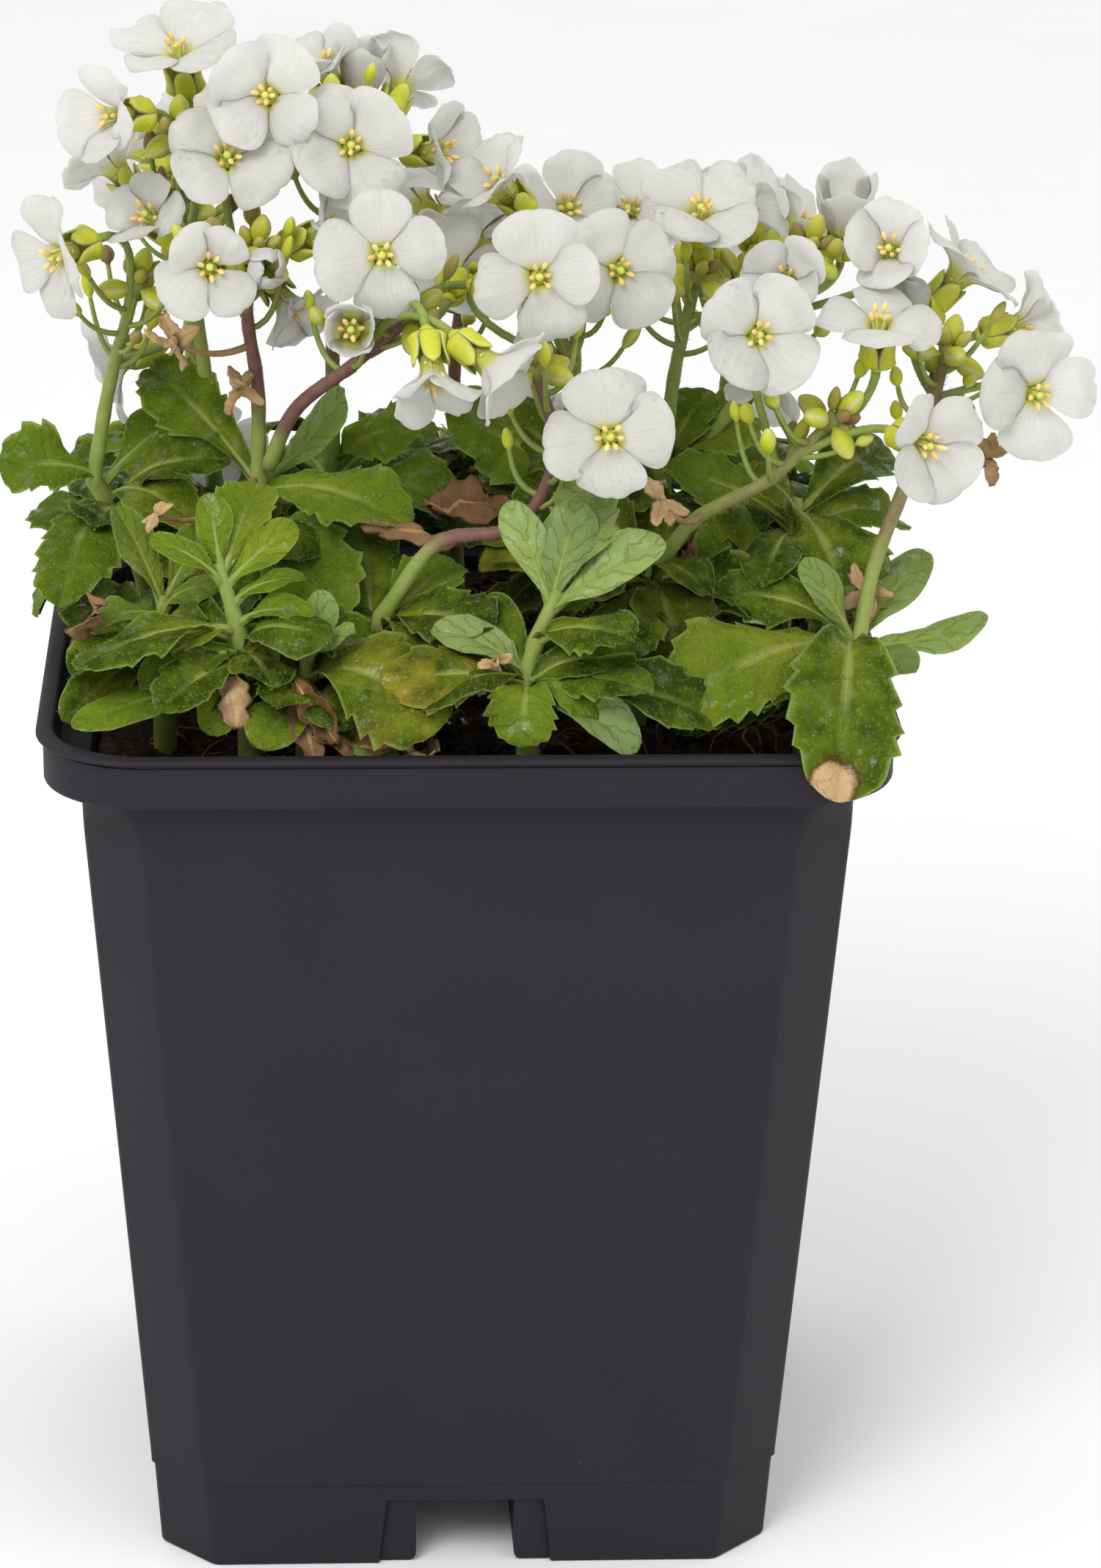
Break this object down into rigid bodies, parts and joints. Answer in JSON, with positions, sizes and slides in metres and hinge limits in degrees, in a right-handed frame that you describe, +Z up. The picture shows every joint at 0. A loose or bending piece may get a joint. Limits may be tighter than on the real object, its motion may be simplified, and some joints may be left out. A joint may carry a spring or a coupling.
{
  "type": "potted plant",
  "caption": "Rock cress in white flower with toothed green leaves and buds, growing from dark peat in a square black plastic nursery pot that tapers to a notched foot.",
  "frame": {"origin": "Middle of the pot's square underside, at the level of the surface it stands on.", "axes": "+Z is up. -Y is the side of the pot that faces the viewer in the picture, and +X is to the viewer's right."},
  "size_m": [0.1177, 0.093, 0.1683],
  "materials": {
    "pot_plastic": "fine-grained matt charcoal polypropylene",
    "peat": "loose dark fibrous peat",
    "living_green": "finely hairy, slightly waxy living leaf and stem",
    "petal_white": "thin soft matt white petal"
  },
  "bodies": {
    "root": {"pot": "pot_plastic", "soil": "peat", "leafy_stem_left_rear": "living_green", "leafy_stem_left_middle": "living_green", "leafy_stem_left_front": "living_green", "leafy_stem_front_left": "living_green", "leafy_stem_front_middle": "living_green", "leafy_stem_centre_front": "living_green", "leafy_stem_front_right_of_middle": "living_green", "leafy_stem_right_front": "living_green", "leafy_stem_right_middle": "living_green", "leafy_stem_middle_right": "living_green", "leafy_stem_middle": "living_green", "leafy_stem_right_rear": "living_green", "leafy_stem_tall_left": "living_green", "leafy_stem_tall_middle": "living_green", "leafy_stem_back_left": "living_green", "leafy_stem_back_middle": "living_green", "leafy_stem_back_right": "living_green", "blooms_left_rear_1": "petal_white", "blooms_left_middle_1": "petal_white", "blooms_left_middle_2": "petal_white", "blooms_left_middle_3": "petal_white", "blooms_centre_front_1": "petal_white", "blooms_middle_1": "petal_white", "blooms_left_middle_4": "petal_white", "blooms_left_middle_5": "petal_white", "blooms_left_middle_6": "petal_white", "blooms_left_middle_7": "petal_white", "blooms_tall_left_1": "petal_white", "blooms_tall_left_2": "petal_white", "blooms_left_middle_8": "petal_white", "blooms_tall_left_3": "petal_white", "blooms_tall_left_4": "petal_white", "blooms_left_middle_9": "petal_white", "blooms_middle_2": "petal_white", "blooms_middle_3": "petal_white", "blooms_middle_4": "petal_white", "blooms_left_rear_2": "petal_white", "blooms_tall_left_5": "petal_white", "blooms_back_left_1": "petal_white", "blooms_middle_5": "petal_white", "blooms_back_middle_1": "petal_white", "blooms_tall_middle_1": "petal_white", "blooms_tall_middle_2": "petal_white", "blooms_middle_right_1": "petal_white", "blooms_middle_right_2": "petal_white", "blooms_right_rear_1": "petal_white", "blooms_right_rear_2": "petal_white", "blooms_middle_right_3": "petal_white", "blooms_right_front_1": "petal_white", "blooms_right_front_2": "petal_white", "blooms_right_front_3": "petal_white", "blooms_right_rear_3": "petal_white", "blooms_right_rear_4": "petal_white", "blooms_right_rear_5": "petal_white", "blooms_back_right_1": "petal_white", "blooms_right_rear_6": "petal_white"}
  },
  "joints": []
}
